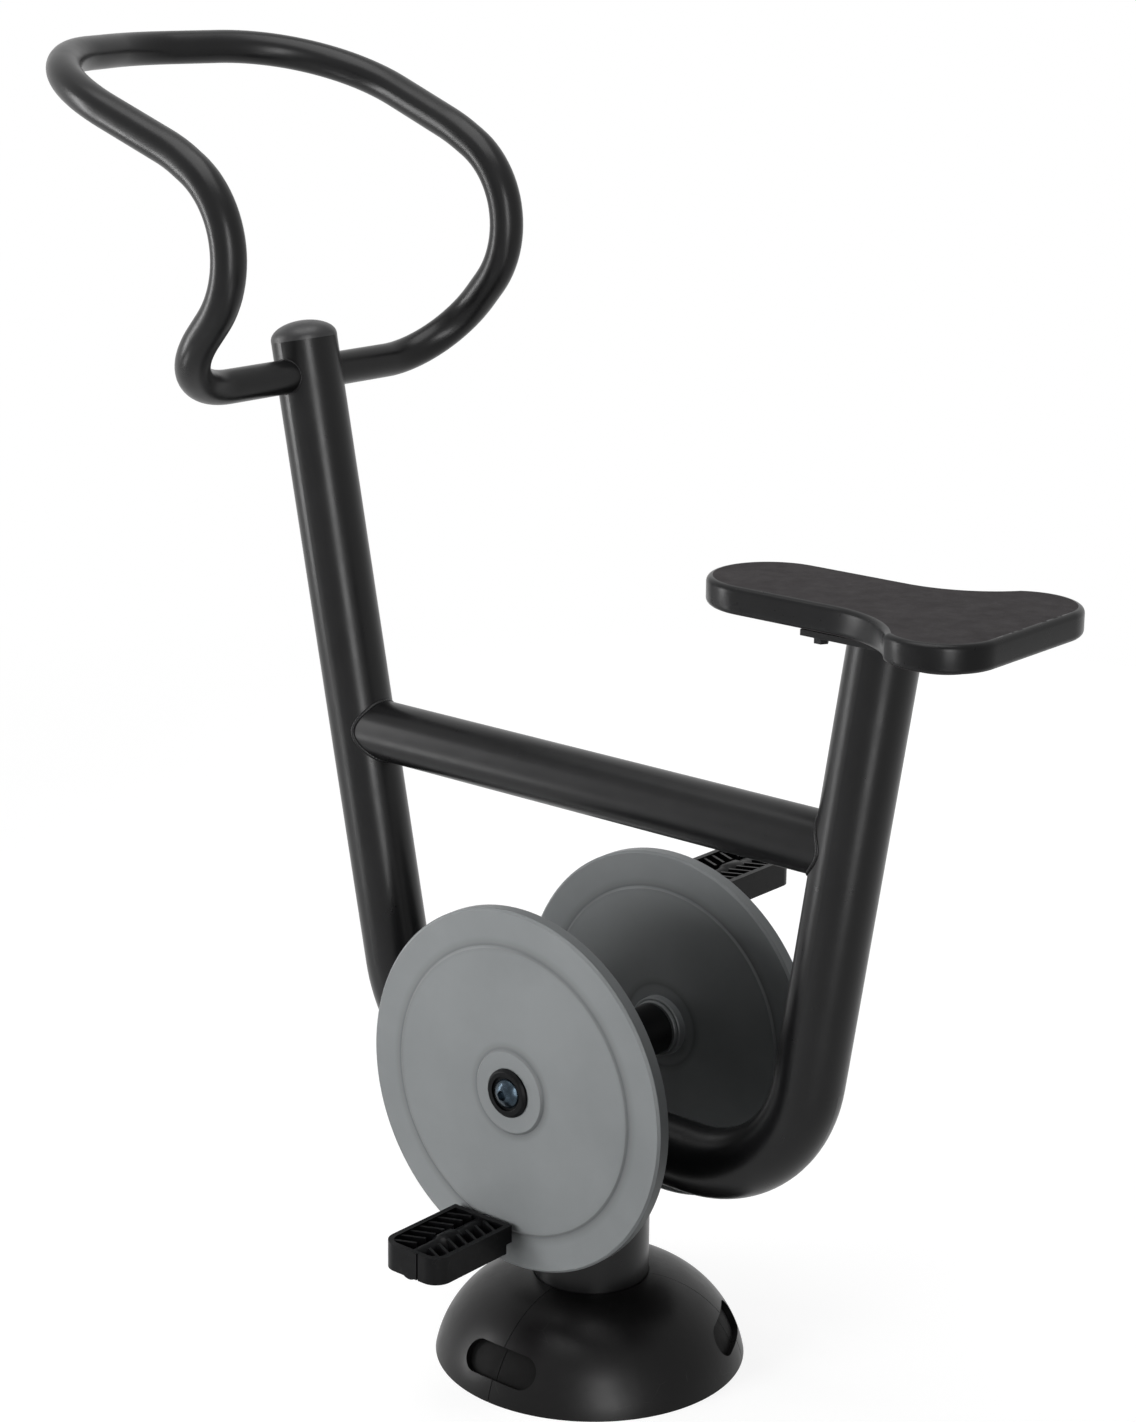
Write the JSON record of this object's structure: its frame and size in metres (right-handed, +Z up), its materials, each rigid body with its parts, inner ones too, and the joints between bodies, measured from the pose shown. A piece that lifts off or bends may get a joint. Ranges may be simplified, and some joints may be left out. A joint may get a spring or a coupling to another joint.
{
  "type": "outdoor exercise bike",
  "caption": "Upright outdoor exercise bike on a round ground post, with a bent tube frame, flat saddle, closed-loop handlebar, solid disc wheels and free-turning platform pedals.",
  "frame": {"origin": "centre of the round foot plate, on the ground", "axes": "+X the way the rider faces, +Y the rider's left, +Z up"},
  "size_m": [1.168, 0.492, 1.324],
  "materials": {
    "powder_black": "satin powder coat",
    "cover_black": "matte",
    "seat_black": "matte, fine grain",
    "pedal_black": "matte",
    "disc_grey": "satin powder coat",
    "steel": "zinc plated",
    "brass": "plain",
    "rubber_black": "matte"
  },
  "bodies": {
    "frame": {"base_flange": "powder_black", "base_ribs": "powder_black", "ground_post": "powder_black", "post_lid": "powder_black", "cover_left": "cover_black", "cover_front": "cover_black", "cover_rear": "cover_black", "lower_tube": "powder_black", "front_post": "powder_black", "seat_tube": "powder_black", "cross_tube": "powder_black", "handlebar": "powder_black", "post_cap": "cover_black", "axle_cradle": "powder_black", "axle_housing": "powder_black", "bearing_outer_rings": "steel", "bearing_seals": "rubber_black", "retaining_rings": "steel", "saddle_plate": "powder_black", "saddle": "seat_black", "saddle_bolts": "steel", "saddle_washers": "steel"},
    "crank": {"axle_shaft": "steel", "bearing_inner_rings": "steel", "bearing_balls": "steel", "axle_spacers": "steel", "left_disc": "disc_grey", "right_disc": "disc_grey", "disc_keys": "steel", "left_hub_cup": "cover_black", "right_hub_cup": "cover_black", "left_hub_bolt": "steel", "right_hub_bolt": "steel", "left_spindle": "steel", "right_spindle": "steel", "left_pedal_lock": "steel", "right_pedal_lock": "steel"},
    "left_pedal": {"left_pedal": "pedal_black", "left_pedal_bushes": "brass", "left_pedal_plug": "rubber_black"},
    "right_pedal": {"right_pedal": "pedal_black", "right_pedal_bushes": "brass", "right_pedal_plug": "rubber_black"}
  },
  "joints": [
    {"name": "crank_spin", "type": "hinge", "parent": "frame", "child": "crank", "pos_m": [0, 0, 0.325], "axis": [0, 1, 0], "continuous": true},
    {"name": "left_pedal_spin", "type": "hinge", "parent": "crank", "child": "left_pedal", "pos_m": [0.02931, 0.19, 0.1728], "axis": [0, 1, 0], "continuous": true},
    {"name": "right_pedal_spin", "type": "hinge", "parent": "crank", "child": "right_pedal", "pos_m": [-0.02931, -0.19, 0.4772], "axis": [0, 1, 0], "continuous": true}
  ]
}
